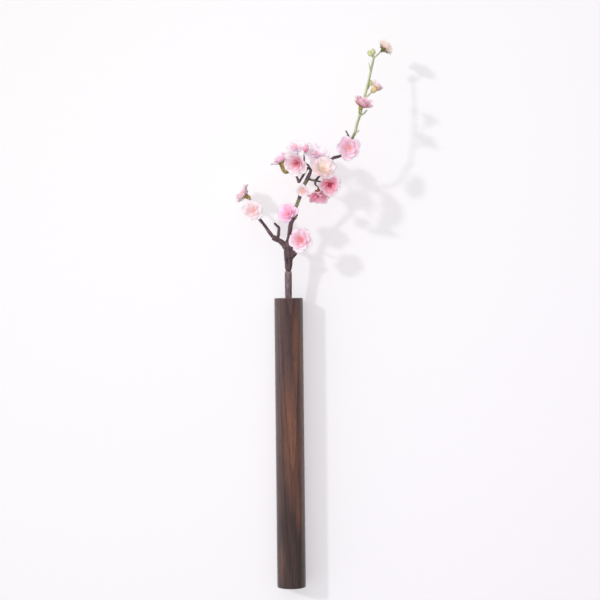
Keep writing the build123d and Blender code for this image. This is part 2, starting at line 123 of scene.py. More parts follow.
# Blossoms: number, seat, the way it faces, diameter, spin in degrees, foot of the stalk, twig, look
Blossom = namedtuple("Blossom", "number seat facing diameter spin foot twig look")
BLOSSOMS = [Blossom(*row) for row in (
    (1, (-43.6, -16, 77.5), (-0.86, -0.02, 0.5), 26, 10, (-38, -15.5, 67), "left_twig", "mauve"),
    (2, (-35.4, -5.5, 62.8), (-0.1, 0.97, 0.2), 24, 30, (-33.5, -13, 59), "left_twig", "cream"),
    (3, (1.5, 8, 59.5), (-0.45, 0.75, 0.45), 25, 0, (5.5, 2, 52.5), "trunk", "bright"),
    (4, (13.4, 13.5, 33.6), (-0.2, 0.95, 0.1), 27.2, 50, (2.5, 0.8, 37), "trunk", "peach"),
    (5, (-4.4, 0, 113.2), (-0.5, 0.04, 0.86), 24.5, 20, (9.5, 9, 99), "crown_left_twig", "orchid"),
    (6, (10.8, 14, 113.2), (-0.38, 0.87, -0.3), 28.5, 45, (9.5, 9, 99), "crown_left_twig", "rose"),
    (7, (9.8, -3.5, 125), (-0.1, 0.6, 0.78), 22, 40, (24.5, 8, 107.5), "crown_branch", "lilac"),
    (9, (29.2, 4, 118.8), (0.2, 0.55, 0.81), 29, 60, (24.5, 8, 107.5), "crown_branch", "lilac"),
    (10, (35.6, 21, 105.8), (0.3, 0.77, 0.56), 29.5, 15, (33.5, 11.5, 99), "crown_side_twig", "apricot"),
    (11, (16, 18, 85), (-0.25, 0.9, -0.3), 15, 0, (15, 8, 84.5), "crown_branch", "cream"),
    (12, (31.5, 24, 83), (-0.05, 0.52, -0.85), 25.5, 25, (28.5, 13.5, 90.5), "crown_side_twig", "deep"),
    (13, (43.4, 16.5, 90.6), (0, 0.96, -0.12), 24.5, 45, (29, 13, 94.5), "crown_side_twig", "crimson"),
    (14, (62.5, 18.5, 127), (0.08, 0.97, 0.05), 25.5, 35, (60, 10, 124.5), "right_twig", "pink"),
    (15, (76, 12, 169), (0.42, 0.25, 0.88), 22.5, 0, (75, 5.5, 160.5), "green_shoot", "bowl"),
    (16, (90.4, 3, 186.7), (0.66, -0.2, 0.72), 15, 30, (79.5, 0, 177), "green_shoot", "shoot"),
    (17, (100.2, -17.5, 226), (0.74, -0.3, 0.6), 21.5, 0, (90, -15.5, 217.5), "green_shoot", "tip"),
)]
# Calyces: size, length and belly of the cup, reach of the sepals, how closely they lie on the petals
PLAIN_CALYX = (1.0, 1.0, 1.0, 1.0, 0.2)
CALYCES = {1: (1.35, 1.0, 1.0, 1.15, 0.8), 5: (1.9, 1.65, 1.8, 0.9, 1.0), 15: (1.1, 1.0, 1.0, 1.85, 0.62),
           16: (1.5, 0.85, 1.1, 0.8, 1.0), 17: (0.95, 1.0, 1.0, 1.5, 0.8)}

# Buds: seat, the way it points, diameter, length, foot of the stalk
Bud = namedtuple("Bud", "seat facing diameter length foot")
PINK_BUDS = [Bud((18.5, 9, 124), (0.3, 0.15, 0.93), 5.6, 7.5, (17.6, 0.6, 112.6))]
GREEN_BUDS = [
    Bud((89.5, -15.5, 221), (-0.1, 0.1, 0.98), 4.4, 6.0, (90, -15.5, 217.5)),
    Bud((87.5, -15, 219.8), (-0.55, 0.1, 0.82), 4.2, 6.0, (90, -15.5, 217.5)),
    Bud((85, -7, 189.5), (0.3, -0.1, 0.92), 4.6, 6.0, (82, -2.6, 185.5)),
]
BUDS = {"crown_branch": PINK_BUDS, "green_shoot": GREEN_BUDS}

# Petal layers of each form: share of the radius, rise as a share of the reach, petals, turn in degrees
FORMS = {
    "open": [(1.0, 0.36, 5, 0), (0.8, 0.6, 5, 36), (0.52, 0.95, 5, 14)],
    "cup": [(1.0, 0.46, 5, 0), (0.82, 0.78, 5, 36), (0.6, 1.05, 5, 10), (0.36, 1.35, 4, 30)],
    "bell": [(1.0, 0.62, 5, 0), (0.78, 0.85, 5, 36), (0.5, 1.2, 4, 10)],
}

# Tones of most calyces, dark and light, as they look on a screen
OLIVE = ((96, 80, 46), (168, 140, 92))
# Looks: form, then the petals' tones from the heart outwards and the calyx's, dark and light
LOOKS = {
    "mauve": ("open", (255, 190, 202), (255, 214, 222), (255, 230, 238), (112, 92, 44), (204, 174, 112)),
    "orchid": ("open", (255, 184, 206), (255, 212, 230), (255, 234, 248), (112, 92, 44), (196, 170, 112)),
    "lilac": ("open", (255, 212, 234), (255, 242, 253), (255, 251, 255), (105, 88, 48), (190, 160, 100)),
    "cream": ("open", (254, 204, 206), (255, 232, 236), (255, 246, 250), *OLIVE),
    "bright": ("open", (253, 170, 212), (255, 204, 232), (255, 222, 242), *OLIVE),
    "peach": ("open", (246, 156, 176), (255, 214, 228), (255, 236, 250), *OLIVE),
    "rose": ("cup", (238, 118, 150), (255, 222, 234), (255, 250, 253), *OLIVE),
    "apricot": ("open", (255, 238, 220), (255, 234, 230), (255, 240, 250), *OLIVE),
    "deep": ("bell", (252, 138, 166), (255, 176, 202), (255, 214, 230), (92, 66, 44), (150, 116, 84)),
    "crimson": ("cup", (208, 58, 96), (255, 176, 198), (255, 242, 250), *OLIVE),
    "pink": ("open", (255, 192, 200), (255, 212, 230), (255, 228, 244), *OLIVE),
    "bowl": ("bell", (252, 158, 186), (255, 184, 206), (255, 218, 230), (112, 92, 48), (222, 200, 128)),
    "shoot": ("bell", (252, 172, 194), (255, 206, 220), (255, 236, 240), (178, 158, 84), (252, 234, 184)),
    "tip": ("open", (252, 196, 186), (255, 218, 208), (255, 236, 226), (72, 74, 40), (146, 140, 92)),
}
# Share of the light that goes through most petals, and through those of other looks
HALF_GLOW = 0.5
GLOW = {"mauve": 0.9, "orchid": 0.7, "bowl": 0.9, "shoot": 0.9, "tip": 0.9,
        "lilac": 0.25, "apricot": 0.25, "rose": 0.25, "deep": 0.25}
# Stamens that are paler than the rest, above zero, or deeper, below zero
STAMEN_TONE = {"cream": 0.8, "apricot": 0.8, "tip": 0.8, "pink": 0.6, "peach": 0.3,
               "crimson": -0.9, "rose": -0.6, "deep": -0.9}

# Where the random draws of each kind of piece start
PETAL_SEED, CALYX_SEED, STAMEN_SEED, BUD_SEED = 100, 300, 500, 700
# Depth of a calyx behind its seat, in millimetres
CALYX_DEPTH = 4.2
# Cut ends of twigs: the shortest run that shows them, how far from an end they reach
CUT_RUN, CUT_REACH = 7 * MM, 4 * MM
# The worn edge of the mouth: its depth, and how far it wanders down
WEAR_DEPTH, WEAR_WANDER = 0.0002, 0.0016
# Radii of a stamen's heart, of its filament's foot and top, and of its tip, and where the filament starts
HEART, ROD_FOOT, ROD_TOP, TIP, ROD_START = 1.25 * MM, 0.13 * MM, 0.09 * MM, 0.36 * MM, 0.6 * MM
# Gap behind the vase, and the distance from which the wall shows in mirrored light
WALL_GAP = 0.5 * MM
MIRROR_NEAR = 15 * MM
# The camera's eye, right of the tube's axis and below its mouth, and its lens and sensor in millimetres
EYE_RIGHT, EYE_DROP = 11.87 * MM, 2.2 * MM
LENS, SENSOR = 96.0, 36.0
# The ways in which the key light and the light from behind shine, and how wide the second looks
KEY_WAY, REAR_WAY, REAR_SOFTNESS = (1.146, 1.0, -0.57), (-0.3, -1.0, -0.4), radians(18)

# What settings of one kind share
COLOUR = {"subtype": "COLOR", "size": 3, "min": 0, "max": 1}
LENGTH = {"subtype": "DISTANCE", "unit": "LENGTH"}
ANGLE = {"subtype": "ANGLE", "unit": "ROTATION"}
FACTOR = {"subtype": "FACTOR", "min": 0, "max": 1}


def tone(red, green, blue):
    """A colour given as it looks on a screen, from 0 to 255, as the linear values that Blender works with."""
    return tuple(c / 3294.6 if c <= 10.3 else ((c / 255 + 0.055) / 1.055) ** 2.4 for c in (red, green, blue))


def look_tones(look):
    """The tones of a look: heart, middle and edge of the petals, dark and light of the calyx."""
    return [tone(*shade) for shade in LOOKS[look][1:]]


class WoodFinish(bpy.types.PropertyGroup):
    """Grain, colours and polish of the turned tube."""

    foot_tone: FloatVectorProperty(
        name="Foot", description="Colour of the wood at the vase's foot", default=tone(62, 46, 43), **COLOUR)
    middle_tone: FloatVectorProperty(
        name="Middle", description="Colour of the wood half way up", default=tone(90, 66, 60), **COLOUR)
    top_tone: FloatVectorProperty(
        name="Top", description="Colour of the wood at the mouth", default=tone(90, 69, 68), **COLOUR)
    # The flames' colour, which along the right edge also stands for a painted reflection
    red_tone: FloatVectorProperty(
        name="Red flame", description="Colour of the grain's flames", default=tone(124, 84, 69), **COLOUR)
    worn_tone: FloatVectorProperty(
        name="Worn edge", description="Colour of the mouth's worn edge", default=tone(112, 98, 93), **COLOUR)
    ring_spacing: FloatProperty(
        name="Ring spacing", description="Between two growth rings", default=0.0026, min=0.0005, **LENGTH)
    polish: FloatProperty(
        name="Roughness", description="Roughness of the oiled surface", default=0.27, **FACTOR)
    pore_depth: FloatProperty(
        name="Pore depth", description="Depth of the open pores", default=0.00012, min=0, **LENGTH)


class SprayFinish(bpy.types.PropertyGroup):
    """Sizes and colours of the twigs and blossoms."""

    # Dark and light tones of bark, stem and shoot: their own colours, laid dark in the furrows as painted shade
    # and light on the ridges as painted highlight
    bark_dark: FloatVectorProperty(
        name="Bark furrows", description="Dark colour of the bark", default=tone(40, 24, 29), **COLOUR)
    bark_light: FloatVectorProperty(
        name="Bark ridges", description="Light colour of the bark", default=tone(134, 110, 116), **COLOUR)
    stem_dark: FloatVectorProperty(
        name="Stem furrows", description="Dark colour of the stem", default=tone(78, 58, 64), **COLOUR)
    stem_light: FloatVectorProperty(
        name="Stem ridges", description="Light colour of the stem", default=tone(148, 126, 132), **COLOUR)
    # The cut ends' colour, which also paints the highlight round the lower stem's top rim
    cut_and_highlight_tone: FloatVectorProperty(
        name="Cut end", description="Colour of the cut and worn ends", default=tone(178, 154, 138), **COLOUR)
    shoot_dark: FloatVectorProperty(
        name="Shoot shade", description="Dark colour of the shoot", default=tone(164, 173, 130), **COLOUR)
    shoot_light: FloatVectorProperty(
        name="Shoot", description="Light colour of the shoot", default=tone(218, 225, 184), **COLOUR)
    bud_tone: FloatVectorProperty(
        name="Green bud", description="Light colour of the green buds", default=tone(232, 238, 180), **COLOUR)
    bark_depth: FloatProperty(
        name="Bark depth", description="Depth of the bark's furrows", default=0.0005, min=0, **LENGTH)
    skin_grain: FloatProperty(
        name="Skin grain", description="Size of the faces of a twig's skin", default=0.0004, min=0.0001,
        **LENGTH)
    stalk_diameter: FloatProperty(
        name="Stalk diameter", description="Thickness of the stalks", default=0.0015, min=0.0001, **LENGTH)
    petal_thickness: FloatProperty(
        name="Petal thickness", description="Thickness of the petals' stiffened cloth", default=0.00025,
        min=0.00005, **LENGTH)
    petal_ruffle: FloatProperty(
        name="Ruffle", description="Height of the waves in a petal's edge, as a share of its reach",
        default=0.09, **FACTOR)
    stamen_length: FloatProperty(
        name="Stamen length", description="Length of the stamens", default=0.0036, min=0, **LENGTH)
    stamen_count: IntProperty(
        name="Stamens", description="Stamens in each blossom", default=12, min=3)


class StageFinish(bpy.types.PropertyGroup):
    """Backdrop, light and camera."""

    wall_tone: FloatVectorProperty(
        name="Wall", description="Colour of the wall and the floor", default=(0.985, 0.988, 0.992), **COLOUR)
    # Painted shade: the wall is painted towards this colour at its lower right, standing for the light's falloff
    wall_shade: FloatVectorProperty(
        name="Wall, far side", description="Colour of the wall on the side away from the key light",
        default=(0.935, 0.917, 0.962), **COLOUR)
    key_strength: FloatProperty(
        name="Key light", description="Strength of the key light in watts per square metre", default=0.7,
        min=0)
    key_softness: FloatProperty(
        name="Key softness", description="How wide the key light looks", default=radians(4), min=0, **ANGLE)
    front_strength: FloatProperty(
        name="Front light", description="Strength of the light at the camera and of its twin behind the wall",
        default=1.4, min=0)
    fill_strength: FloatProperty(
        name="Fill light", description="Strength of the light from all round", default=0.46, min=0)
    camera_distance: FloatProperty(
        name="Camera distance", description="From the camera to the tube's axis", default=1.662, min=0.1,
        **LENGTH)
    camera_roll: FloatProperty(
        name="Camera roll", description="Lean of the camera to the right", default=radians(0.61), **ANGLE)


def add_node(tree, kind, inputs=None, **settings):
    """A node with its settings, and its inputs set or linked."""
    node = tree.nodes.new(kind)
    for name, value in settings.items():
        setattr(node, name, value)
    for name, value in (inputs or {}).items():
        if isinstance(value, bpy.types.NodeSocket):
            tree.links.new(value, node.inputs[name])
        else:
            node.inputs[name].default_value = value
    return node


def new_material(name, **constants):
    """A node material with its shader's constant inputs set."""
    material = bpy.data.materials.new(name)
    material.use_nodes = True
    tree = material.node_tree
    shader = tree.nodes["Principled BSDF"]
    for socket, value in constants.items():
        shader.inputs[socket.replace("_", " ")].default_value = value
    return material, tree, shader


def calc(tree, operation, first, second=0.0, add=0.0, clamp=False):
    """One step of arithmetic on node values."""
    inputs = {0: first, 1: second, 2: add}
    return add_node(tree, "ShaderNodeMath", inputs, operation=operation, use_clamp=clamp).outputs[0]


def blend_tones(tree, factor, first, second, blend="MIX"):
    """Two colours mixed by a factor."""
    first, second = (side if isinstance(side, bpy.types.NodeSocket) else (*side[:3], 1)
                     for side in (first, second))
    settings = {"data_type": "RGBA", "blend_type": blend, "clamp_factor": True}
    return add_node(tree, "ShaderNodeMix", {0: factor, 6: first, 7: second}, **settings).outputs[2]


def ramp(tree, factor, stops):
    """A ramp through stops of (place, colour), where a number stands for a grey."""
    node = add_node(tree, "ShaderNodeValToRGB", {"Fac": factor})
    elements = node.color_ramp.elements
    while len(elements) < len(stops):
        elements.new(0.5)
    for element, (place, colour) in zip(elements, stops):
        element.position = place
        element.color = (colour, colour, colour, 1) if isinstance(colour, float) else (*colour[:3], 1)
    return node.outputs["Color"]


def tint(tree, share, body, factor, stops):
    """A colour multiplied by a ramp, to a share."""
    return blend_tones(tree, share, body, ramp(tree, factor, stops), "MULTIPLY")


def map_run(tree, value, start, end, low=0.0, high=1.0):
    """A value's run from start to end as a run from low to high."""
    inputs = {"Value": value, "From Min": start, "From Max": end, "To Min": low, "To Max": high}
    return add_node(tree, "ShaderNodeMapRange", inputs).outputs["Result"]


def stored(tree, name, output="Fac"):
    """A value stored on the piece's vertices."""
    return add_node(tree, "ShaderNodeAttribute", attribute_name=name).outputs[output]


def split(tree, vector):
    """The X, Y and Z of a vector."""
    return add_node(tree, "ShaderNodeSeparateXYZ", {"Vector": vector}).outputs


def feed(tree, shader, colour, roughness=None):
    """Link a colour to the shader, and a roughness where there is one."""
    tree.links.new(colour, shader.inputs["Base Color"])
    if roughness is not None:
        tree.links.new(roughness, shader.inputs["Roughness"])


def stretch(tree, vector, scale, location=(0, 0, 0), turn=(0, 0, 0)):
    """Coordinates moved, turned and stretched."""
    inputs = {"Vector": vector, "Location": location, "Rotation": turn, "Scale": scale}
    return add_node(tree, "ShaderNodeMapping", inputs).outputs["Vector"]


def speckle(tree, vector, scale, detail=3.0, roughness=0.55, along=None):
    """Soft noise between 0 and 1, in four dimensions where a length along a twig is given."""
    inputs = {"Vector": vector, "Scale": scale, "Detail": detail, "Roughness": roughness}
    if along is None:
        return add_node(tree, "ShaderNodeTexNoise", inputs).outputs["Fac"]
    return add_node(tree, "ShaderNodeTexNoise", {**inputs, "W": along}, noise_dimensions="4D").outputs["Fac"]


def relief(tree, shader, height, depth):
    """A bump of the given depth on the shader."""
    bump = add_node(tree, "ShaderNodeBump", {"Height": height, "Distance": depth, "Strength": 1.0})
    tree.links.new(bump.outputs["Normal"], shader.inputs["Normal"])


def object_place(tree):
    """The piece's own coordinates."""
    return add_node(tree, "ShaderNodeTexCoord").outputs["Object"]


def wood_material(finish):
    """Oiled dark hardwood: growth rings round a pith behind the tube, reddish flames, fibres, pores and a worn
    mouth; a flame along the right edge also lightens that side as a painted reflection.
    """
    material, tree, shader = new_material("dark_hardwood", Specular_IOR_Level=0.5)
    place = object_place(tree)
    log = stretch(tree, place, (1, 1, 1), (0.007, -0.024, 0), (radians(1.1), radians(-0.6), 0))
    long_grain = stretch(tree, log, (1, 1, 0.05))
    rings = add_node(
        tree, "ShaderNodeTexWave",
        {"Vector": long_grain, "Scale": tau / (20 * finish.ring_spacing), "Distortion": 5.0, "Detail": 3.0,
         "Detail Scale": 0.35},
        wave_type="RINGS", rings_direction="Z", wave_profile="SAW").outputs["Fac"]
    fibres = speckle(tree, stretch(tree, place, (1, 1, 0.02)), 1500, 4, 0.65)
    streaks = speckle(tree, stretch(tree, place, (1, 1, 0.05), (0.013, 0.004, 0.0)), 170, 3, 0.5)
    pores = speckle(tree, stretch(tree, place, (1, 1, 0.045)), 2600, 2, 0.5)
    height = split(tree, place)["Z"]
    share = map_run(tree, height, VASE_LOW.z, VASE_HIGH.z)
    cloud = speckle(tree, stretch(tree, place, (1, 1, 0.3)), 60, 2)
    wandering = calc(tree, "MULTIPLY_ADD", cloud, 0.36, -0.18)
    up = calc(tree, "ADD", share, wandering, clamp=True)
    body = ramp(tree, up, [(0.2, finish.foot_tone), (0.5, finish.middle_tone), (0.8, finish.top_tone)])
    ragged = calc(tree, "MULTIPLY_ADD", streaks, 1.3, -0.65)
    # One flame runs along the right edge: grain, and a painted reflection that lightens that side
    for across, middle, half, tall, most in FLAMES_AND_PAINTED_REFLECTION:
        oval = stretch(tree, place, (1 / half, 0, 1 / tall), (-across / half, 0, -middle / tall))
        centred = add_node(tree, "ShaderNodeVectorMath", {0: oval}, operation="LENGTH")
        edge = calc(tree, "ADD", centred.outputs["Value"], ragged)
        body = blend_tones(tree, ramp(tree, edge, [(0.35, most), (1.0, 0.0)]), body, finish.red_tone)
    body = tint(tree, 0.75, body, rings, [(0.0, 1.15), (0.6, 1.0), (1.0, 0.55)])
    body = tint(tree, 0.8, body, fibres, [(0.3, 0.62), (0.7, 1.3)])
    pore_mask = ramp(tree, pores, [(0.6, 0.0), (0.68, 1.0)])
    body = blend_tones(tree, calc(tree, "MULTIPLY", pore_mask, 0.6), body, (0.012, 0.008, 0.007))
    ragged_height = calc(tree, "MULTIPLY_ADD", fibres, WEAR_WANDER, height)
    top_wear = calc(tree, "GREATER_THAN", ragged_height, VASE_HIGH.z - WEAR_DEPTH)
    body = blend_tones(tree, calc(tree, "MULTIPLY", top_wear, 0.5), body, finish.worn_tone)
    feed(tree, shader, body, calc(tree, "MULTIPLY_ADD", fibres, 0.25, finish.polish - 0.1))
    relief(tree, shader, calc(tree, "SUBTRACT", fibres, pore_mask), finish.pore_depth)
    return material


def glass_material():
    """Clear soda glass with faint smears."""
    material, tree, shader = new_material("clear_glass", Transmission_Weight=1.0, IOR=1.5)
    smears = speckle(tree, object_place(tree), 140, 3)
    body = ramp(tree, smears, [(0.3, (0.90, 0.96, 0.94)), (0.7, (0.96, 0.99, 0.98))])
    feed(tree, shader, body, ramp(tree, smears, [(0.4, 0.02), (0.75, 0.09)]))
    return material


def steel_material(name, light, brush):
    """Zinc-plated steel with the brush marks of its sheet."""
    material, tree, shader = new_material(name, Metallic=1.0)
    place = object_place(tree)
    marks = speckle(tree, stretch(tree, place, brush), 2200, 3, 0.6)
    spangle = speckle(tree, place, 420, 2)
    body = ramp(tree, spangle, [(0.35, tuple(0.8 * c for c in light)), (0.65, light)])
    feed(tree, shader, body, ramp(tree, marks, [(0.3, 0.26), (0.7, 0.44)]))
    relief(tree, shader, marks, 0.02 * MM)
    return material


def bark_material(name, dark, light, cut):
    """Moulded bark with furrows that run along the twig, lighter ridges and cut ends; besides the bark's own
    colour, the tones follow the relief, darker in the furrows as painted shade and lighter on the ridges as
    painted highlight.
    """
    material, tree, shader = new_material(name, Specular_IOR_Level=0.3)
    around = stored(tree, "bark_around", "Vector")
    along = stored(tree, "bark_along")
    furrows = speckle(tree, around, 0.75, 4, 0.65, calc(tree, "MULTIPLY", along, 0.16))
    rings = speckle(tree, around, 0.16, 3, 0.6, calc(tree, "MULTIPLY", along, 0.5))
    between = tuple((d + g) / 2 for d, g in zip(dark, light))
    # Dark in the furrows, light on the ridges: the bark's colour with painted shade and painted highlight
    body = ramp(tree, furrows, [(0.34, dark), (0.52, between), (0.68, light)])
    body = tint(tree, 0.7, body, rings, [(0.35, 0.6), (0.65, 1.25)])
    green = ramp(tree, furrows, [(0.35, tone(96, 92, 58)), (0.65, tone(176, 184, 140))])
    body = blend_tones(tree, stored(tree, "bark_young"), body, green)
    # Cut ends, and the painted highlight round the stem's rim, take the cut colour
    body = blend_tones(tree, stored(tree, "bark_cut_and_highlight"), body, cut)
    feed(tree, shader, body, ramp(tree, furrows, [(0.3, 0.75), (0.7, 0.5)]))
    relief(tree, shader, furrows, 0.15 * MM)
    return material


def petal_material(name, heart, middle, edge, glow):
    """Stiffened dyed cloth: deep at the heart, paler to the edge, with veins, blush and a fine weave."""
    material, tree, shader = new_material(
        name, Roughness=0.78, Specular_IOR_Level=0.15, Sheen_Weight=0.25, Sheen_Roughness=0.5,
        Subsurface_Weight=glow, Subsurface_Scale=0.45 * MM, Subsurface_Radius=(1.0, 0.96, 0.96))
    parts = split(tree, stored(tree, "petal_place", "Vector"))
    share, across, chance = parts["X"], parts["Y"], parts["Z"]
    place = object_place(tree)
    blush = speckle(tree, place, 260, 3, 0.6)
    drift = calc(tree, "MULTIPLY_ADD", blush, 0.36, -0.18)
    dye = ramp(tree, calc(tree, "ADD", share, drift, clamp=True), [
        (0.0, tuple(0.7 * c for c in heart)), (0.2, heart), (0.5, middle), (0.84, edge),
        (1.0, tuple(min(1, 1.06 * c + 0.03) for c in edge))])
    veins = calc(tree, "SINE", calc(tree, "MULTIPLY", across, 26.0))
    veined = calc(tree, "MULTIPLY", calc(tree, "GREATER_THAN", veins, 0.55), 0.1)
    dye = blend_tones(tree, veined, dye, middle)
    shade = calc(tree, "MULTIPLY_ADD", chance, 0.1, 0.93)
    paler = add_node(tree, "ShaderNodeCombineColor", {"Red": 1.0, "Green": shade, "Blue": shade})
    feed(tree, shader, blend_tones(tree, 1.0, dye, paler.outputs["Color"], "MULTIPLY"))
    weave = speckle(tree, place, 2600, 2, 0.5)
    relief(tree, shader, calc(tree, "ADD", weave, calc(tree, "MULTIPLY", veins, 0.6)), 0.05 * MM)
    return material


def leaf_material(name, dark, light):
    """Moulded green and olive parts, which are calyces, sepals and buds, with a dark mottle."""
    material, tree, shader = new_material(name, Specular_IOR_Level=0.3, Roughness=0.6)
    place = object_place(tree)
    mottle = speckle(tree, place, 420, 4, 0.6)
    fine = speckle(tree, place, 1900, 2)
    feed(tree, shader, ramp(tree, mottle, [(0.32, dark), (0.66, light)]))
    relief(tree, shader, fine, 0.06 * MM)
    return material


def stamen_material():
    """Rosy filaments with peach tips, paler or deeper in some blossoms."""
    material, tree, shader = new_material("stamen_straw", Roughness=0.6)
    dust = speckle(tree, object_place(tree), 1800, 2)
    pale = stored(tree, "stamen_pale")
    body = ramp(tree, stored(tree, "stamen_share"), [
        (0.0, tone(226, 130, 146)), (0.45, tone(253, 206, 206)), (0.8, tone(254, 222, 212)),
        (1.0, tone(240, 182, 168))])
    body = blend_tones(tree, calc(tree, "MULTIPLY", pale, 1.0, clamp=True), body, tone(255, 226, 206))
    body = blend_tones(tree, calc(tree, "MULTIPLY", pale, -1.0, clamp=True), body, tone(186, 62, 92))
    feed(tree, shader, tint(tree, 0.3, body, dust, [(0.3, 0.7), (0.7, 1.2)]))
    return material


def spray_vector(right, out, up):
    """A vector of the spray in the row frame."""
    return SPRAY_RIGHT * right + SPRAY_OUT * out + SPRAY_UP * up


def spray_point(place):
    """A place of the spray in the row frame, in metres."""
    return SPRAY_FOOT + spray_vector(*place[:3]) * MM


def spray_way(way):
    """A direction of the spray in the row frame."""
    return spray_vector(*way).normalized()


def facing_place(bloom, spin=0.0):
    """The matrix that puts a blossom or bud on its seat, facing its way and spun about it."""
    turn = spray_way(bloom.facing).to_track_quat("Z", "Y").to_matrix().to_4x4()
    return Matrix.Translation(spray_point(bloom.seat)) @ turn @ Matrix.Rotation(radians(spin), 4, "Z")


def add_object(name, data):
    """A new object in the scene."""
    made = bpy.data.objects.new(name, data)
    bpy.context.scene.collection.objects.link(made)
    return made


def mesh_object(bm, name, material):
    """A new object in the scene from a bmesh, with one material."""
    mesh = bpy.data.meshes.new(name)
    bm.to_mesh(mesh)
    bm.free()
    mesh.materials.append(material)
    return add_object(name, mesh)


def finish_piece(bm, name, material, node):
    """Make a bmesh the piece that stands for a CAD node and rides on its body."""
    for face in bm.faces:
        face.smooth = True
    piece = mesh_object(bm, name, material)
    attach(piece, BODY_OF[node])
    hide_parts(node)
    return piece


def soften(piece, thickness=0.0):
    """Give a sheet its thickness, where it has one, and round the piece off."""
    if thickness:
        sheet = piece.modifiers.new("sheet", "SOLIDIFY")
        sheet.thickness = thickness
        sheet.offset = 0
    smooth = piece.modifiers.new("smooth", "SUBSURF")
    smooth.levels = smooth.render_levels = 1


def turn_profile(bm, profile, steps):
    """Turn a profile of (radius, height) about the Z axis."""
    rim = [bm.verts.new((radius, 0, height)) for radius, height in profile]
    edges = [bm.edges.new(pair) for pair in zip(rim, rim[1:])]
    bmesh.ops.spin(bm, geom=rim + edges, cent=(0, 0, 0), axis=(0, 0, 1), angle=tau, steps=steps,
                   use_merge=True)


def dress_node(node, material):
    """Give a CAD node that stays its material."""
    mesh = frame["nodes"][node].data
    mesh.materials.clear()
    mesh.materials.append(material)


def route_curve(name, routes, thick):
    """A curve object with one smooth spline for each route of (point, radius)."""
    curve = bpy.data.curves.new(name, "CURVE")
    curve.dimensions = "3D"
    curve.resolution_u = 6
    if thick:
        curve.bevel_depth = 1.0
        curve.bevel_resolution = 6
        curve.use_fill_caps = True
    for route in routes:
        spline = curve.splines.new("NURBS")
        spline.points.add(len(route) - 1)
        for point, (place, radius) in zip(spline.points, route):
            point.co = (*place, 1.0)
            point.radius = radius
        spline.order_u = 3
        spline.use_endpoint_u = True
    return add_object(name, curve)


def evaluated_mesh(holder):
    """The final mesh of an object, which is then removed."""
    graph = bpy.context.evaluated_depsgraph_get()
    mesh = bpy.data.meshes.new_from_object(holder.evaluated_get(graph))
    bpy.data.objects.remove(holder)
    return mesh


def fused_skin(name, routes, grain):
    """One closed skin round all the routes of a twig."""
    tubes = evaluated_mesh(route_curve(name + "_tubes", routes, True))
    holder = add_object(name + "_skin", tubes)
    remesh = holder.modifiers.new("fuse", "REMESH")
    remesh.mode = "VOXEL"
    remesh.voxel_size = grain
    return evaluated_mesh(holder)


def centre_line(name, routes):
    """Points along the routes, the length along at each, and its direction."""
    line = evaluated_mesh(route_curve(name + "_line", routes, False))
    joined = {tuple(sorted(edge.vertices)) for edge in line.edges}
    points = [vertex.co.copy() for vertex in line.vertices]
    along = []
    for index, point in enumerate(points):
        follows = (index - 1, index) in joined
        along.append(along[-1] + (point - points[index - 1]).length if follows else 0.037 * len(along))
    ways = []
    for index, point in enumerate(points):
        after = points[index + 1] if (index, index + 1) in joined else point
        before = points[index - 1] if (index - 1, index) in joined else point
        ways.append((after - before).normalized())
    bpy.data.meshes.remove(line)
    return points, along, ways


